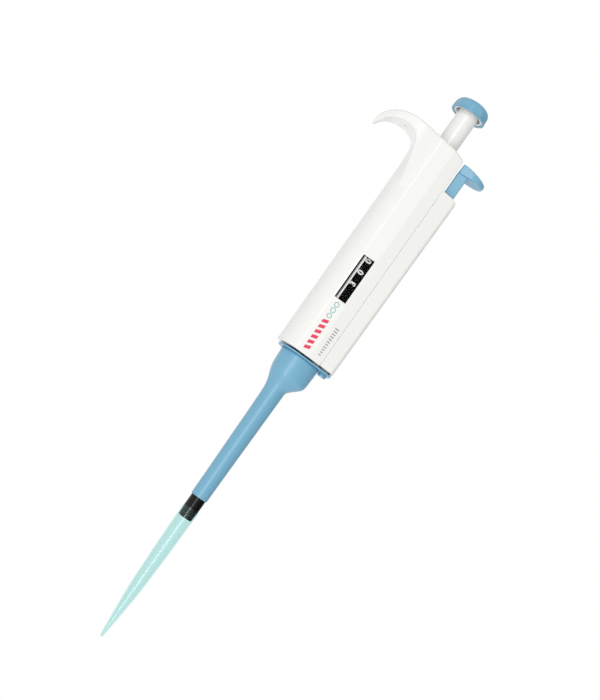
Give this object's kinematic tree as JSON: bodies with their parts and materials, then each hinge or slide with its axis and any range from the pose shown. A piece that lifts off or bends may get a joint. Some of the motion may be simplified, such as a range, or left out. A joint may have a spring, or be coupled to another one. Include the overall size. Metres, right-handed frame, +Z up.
{
  "type": "adjustable micropipette",
  "caption": "Hand-held air-displacement pipette with push knob, volume window, finger hook, tip ejector and a fitted disposable tip.",
  "frame": {"origin": "end face of the tip cone, on the pipette's axis", "axes": "+Z up along the axis to the knob, -Y out of the volume window, -X to the finger hook, +X to the ejector button"},
  "size_m": [0.0586, 0.0242, 0.2916],
  "materials": {
    "white_plastic": "satin gloss moulded",
    "blue_plastic": "satin gloss moulded",
    "black_plastic": "polished, near black",
    "teal_tip": "clear tinted polypropylene",
    "window_clear": "clear glossy lens",
    "drum_black": "black with printed white digits",
    "inner_plastic": "natural acetal",
    "dark_inner": "dark glass-filled nylon",
    "steel": "bright drawn steel",
    "brass": "turned brass",
    "seal_rubber": "nitrile rubber"
  },
  "bodies": {
    "housing": {"housing": "white_plastic", "ejector_cover": "white_plastic", "window_lens": "window_clear", "top_bush": "inner_plastic", "cylinder": "black_plastic", "cylinder_cap": "dark_inner", "clamp_ring": "steel", "counter_frame": "dark_inner", "frame_screws": "steel", "pinion_shaft": "steel", "spring_cage": "steel", "tip_cone": "black_plastic", "cone_ring": "seal_rubber", "blowout_spring": "steel", "ejector_spring": "steel"},
    "first_stop": {"stop_ring": "dark_inner", "main_spring": "steel"},
    "plunger": {"thrust_washer": "inner_plastic", "push_rod": "steel", "rod_clip": "steel", "piston": "inner_plastic", "piston_ring": "seal_rubber"},
    "knob": {"knob": "blue_plastic", "knob_ring": "white_plastic", "stem": "white_plastic"},
    "drive": {"drive_sleeve": "brass", "units_drum": "drum_black"},
    "tens": {"tens_drum": "drum_black"},
    "hundreds": {"hundreds_drum": "drum_black"},
    "thousands": {"thousands_drum": "drum_black"},
    "tens_carry": {"tens_pinion": "inner_plastic"},
    "hundreds_carry": {"hundreds_pinion": "inner_plastic"},
    "thousands_carry": {"thousands_pinion": "inner_plastic"},
    "volume_nut": {"volume_nut": "inner_plastic"},
    "ejector": {"ejector_button": "blue_plastic", "ejector_arm": "inner_plastic", "arm_screw": "steel", "ejector_collar": "blue_plastic"},
    "tip": {"tip": "teal_tip"}
  },
  "joints": [
    {"name": "blowout_stroke", "type": "slide", "parent": "housing", "child": "first_stop", "axis": [0, 0, -1], "range_m": [0, 0.002], "stiffness_N_per_m": 4000, "springref_m": -0.002, "deforming": ["blowout_spring"]},
    {"name": "plunger_stroke", "type": "slide", "parent": "first_stop", "child": "plunger", "axis": [0, 0, -1], "range_m": [0, 0.014], "stiffness_N_per_m": 300, "springref_m": -0.01, "deforming": ["main_spring"]},
    {"name": "volume_turn", "type": "hinge", "parent": "plunger", "child": "knob", "pos_m": [0, 0, 0.22], "axis": [0, 0, 1], "range_deg": [-1440, 5040]},
    {"name": "drive_turn", "type": "hinge", "parent": "housing", "child": "drive", "pos_m": [0, 0, 0.12], "axis": [0, 0, 1], "range_deg": [-1440.5, 5040.5]},
    {"name": "tens_turn", "type": "hinge", "parent": "housing", "child": "tens", "pos_m": [0, 0, 0.12], "axis": [0, 0, 1], "range_deg": [-720.5, 2520.5]},
    {"name": "hundreds_turn", "type": "hinge", "parent": "housing", "child": "hundreds", "pos_m": [0, 0, 0.12], "axis": [0, 0, 1], "range_deg": [-72.5, 252.5]},
    {"name": "thousands_turn", "type": "hinge", "parent": "housing", "child": "thousands", "pos_m": [0, 0, 0.12], "axis": [0, 0, 1], "range_deg": [-7.7, 25.7]},
    {"name": "tens_pinion_turn", "type": "hinge", "parent": "housing", "child": "tens_carry", "pos_m": [-0.00699, 0.00629, 0.135], "axis": [0, 0, 1], "range_deg": [-6300.5, 1800.5]},
    {"name": "hundreds_pinion_turn", "type": "hinge", "parent": "housing", "child": "hundreds_carry", "pos_m": [-0.00699, 0.00629, 0.129], "axis": [0, 0, 1], "range_deg": [-630.5, 180.5]},
    {"name": "thousands_pinion_turn", "type": "hinge", "parent": "housing", "child": "thousands_carry", "pos_m": [-0.00699, 0.00629, 0.1237], "axis": [0, 0, 1], "range_deg": [-63.5, 18.5]},
    {"name": "nut_travel", "type": "slide", "parent": "housing", "child": "volume_nut", "axis": [0, 0, 1], "range_m": [-0.00981, 0.00281]},
    {"name": "ejector_press", "type": "slide", "parent": "housing", "child": "ejector", "axis": [0, 0, -1], "range_m": [0, 0.01], "stiffness_N_per_m": 250, "springref_m": -0.008, "deforming": ["ejector_spring"]},
    {"name": "tip_release", "type": "slide", "parent": "housing", "child": "tip", "axis": [0, 0, -1], "range_m": [0, 0.0126]}
  ],
  "couplings": [
    {"joint": "drive_turn", "follows": "volume_turn", "ratio": 1},
    {"joint": "tens_turn", "follows": "volume_turn", "ratio": 0.5},
    {"joint": "hundreds_turn", "follows": "volume_turn", "ratio": 0.05},
    {"joint": "thousands_turn", "follows": "volume_turn", "ratio": 0.005},
    {"joint": "tens_pinion_turn", "follows": "volume_turn", "ratio": -1.25},
    {"joint": "hundreds_pinion_turn", "follows": "volume_turn", "ratio": -0.125},
    {"joint": "thousands_pinion_turn", "follows": "volume_turn", "ratio": -0.0125},
    {"joint": "nut_travel", "follows": "volume_turn", "m_per_rad": -0.00011141},
    {"joint": "tip_release", "follows": "ejector_press", "ratio": 1.25}
  ]
}
